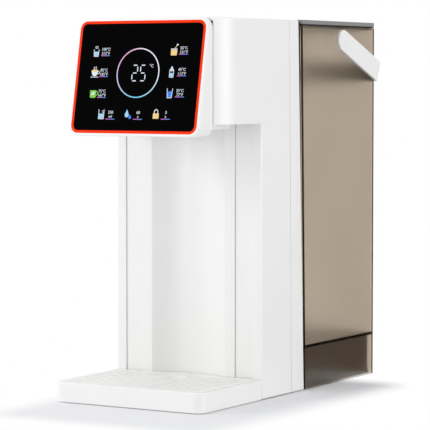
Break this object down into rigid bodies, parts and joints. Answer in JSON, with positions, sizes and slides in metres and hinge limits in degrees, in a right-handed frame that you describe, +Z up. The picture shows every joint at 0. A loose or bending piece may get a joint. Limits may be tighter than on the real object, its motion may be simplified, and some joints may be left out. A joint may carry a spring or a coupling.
{
  "type": "hot water dispenser",
  "caption": "Desktop hot water dispenser: tilted touch panel on an overhanging head, nozzle above a slatted drip tray, and a lift-off tinted water tank with a bail handle.",
  "frame": {"origin": "on the table, under the middle of the box around the part", "axes": "-Y is the front with the panel and the drip tray, +X is to the right of someone who faces the panel, +Z is up"},
  "size_m": [0.145, 0.2992, 0.3086],
  "materials": {
    "shell_white": "satin",
    "lid_grey": "satin",
    "ring_orange": "gloss",
    "panel_black": "polished",
    "tank_smoke": "clear tinted",
    "dark_plastic": "fine grain",
    "nozzle_white": "smooth",
    "seal_rubber": "matt",
    "natural_plastic": "smooth",
    "pump_plastic": "smooth",
    "rotor_plastic": "smooth",
    "steel": "brushed",
    "sheet_metal": "galvanised",
    "hose_silicone": "translucent",
    "board_green": "solder mask",
    "component_black": "smooth",
    "component_aluminium": "brushed",
    "cable_grey": "smooth"
  },
  "bodies": {
    "casing": {"base_plate": "dark_plastic", "base_screws": "steel", "bezel_ring": "ring_orange", "board_capacitors": "component_aluminium", "board_relays": "component_black", "board_screws": "steel", "board_transformer": "component_black", "chassis": "sheet_metal", "cord_gland": "dark_plastic", "digit_module": "component_black", "display_board": "board_green", "feed_hose": "hose_silicone", "front_frame": "shell_white", "head_cable": "cable_grey", "head_gasket": "seal_rubber", "head_housing": "shell_white", "head_screws": "steel", "heat_sink": "component_aluminium", "heater_caps": "natural_plastic", "heater_clamps": "steel", "heater_tube": "steel", "heating_element": "steel", "inlet_hose": "hose_silicone", "level_sensor": "component_black", "main_board": "board_green", "niche_panel": "shell_white", "nozzle": "nozzle_white", "outer_shell": "shell_white", "outlet_hose": "hose_silicone", "pump_cover": "pump_plastic", "pump_motor": "steel", "pump_saddle": "pump_plastic", "pump_volute": "pump_plastic", "rear_frame": "shell_white", "rear_panel": "dark_plastic", "rear_top": "shell_white", "rubber_feet": "seal_rubber", "seat_seal": "seal_rubber", "tank_dock": "dark_plastic", "thermal_cutouts": "component_black", "touch_glass": "panel_black", "touch_springs": "steel", "underside_cover": "shell_white", "valve_seat": "natural_plastic"},
    "tank": {"tank": "tank_smoke", "valve_body": "natural_plastic", "valve_spring": "steel", "float_post": "natural_plastic"},
    "poppet": {"valve_poppet": "natural_plastic", "poppet_seal": "seal_rubber"},
    "float": {"level_float": "natural_plastic"},
    "lid": {"tank_lid": "lid_grey", "lid_seal": "seal_rubber"},
    "handle": {"tank_handle": "shell_white"},
    "tray": {"drip_tray": "shell_white", "tray_feet": "seal_rubber"},
    "grille": {"tray_grille": "shell_white"},
    "rotor": {"pump_impeller": "rotor_plastic"}
  },
  "joints": [
    {"name": "tank_lift", "type": "slide", "parent": "casing", "child": "tank", "axis": [0, 0, 1], "range_m": [0, 0.12]},
    {"name": "lid_lift", "type": "slide", "parent": "tank", "child": "lid", "axis": [0, 0, 1], "range_m": [0, 0.12]},
    {"name": "handle_swing", "type": "hinge", "parent": "tank", "child": "handle", "pos_m": [0, 0.07837, 0.2925], "axis": [1, 0, 0], "range_deg": [0, 180]},
    {"name": "poppet_close", "type": "slide", "parent": "tank", "child": "poppet", "axis": [0, 0, 1], "range_m": [-0.003, 0], "deforming": ["valve_spring"]},
    {"name": "float_rise", "type": "slide", "parent": "tank", "child": "float", "axis": [0, 0, 1], "range_m": [0, 0.02]},
    {"name": "tray_pull", "type": "slide", "parent": "casing", "child": "tray", "axis": [0, -1, 0], "range_m": [0, 0.1]},
    {"name": "grille_lift", "type": "slide", "parent": "tray", "child": "grille", "axis": [0, 0, 1], "range_m": [0, 0.05]},
    {"name": "pump_spin", "type": "hinge", "parent": "casing", "child": "rotor", "pos_m": [0.02, -0.01463, 0.023], "axis": [0, 1, 0], "continuous": true}
  ],
  "couplings": [
    {"joint": "poppet_close", "follows": "tank_lift", "ratio": -0.025}
  ]
}
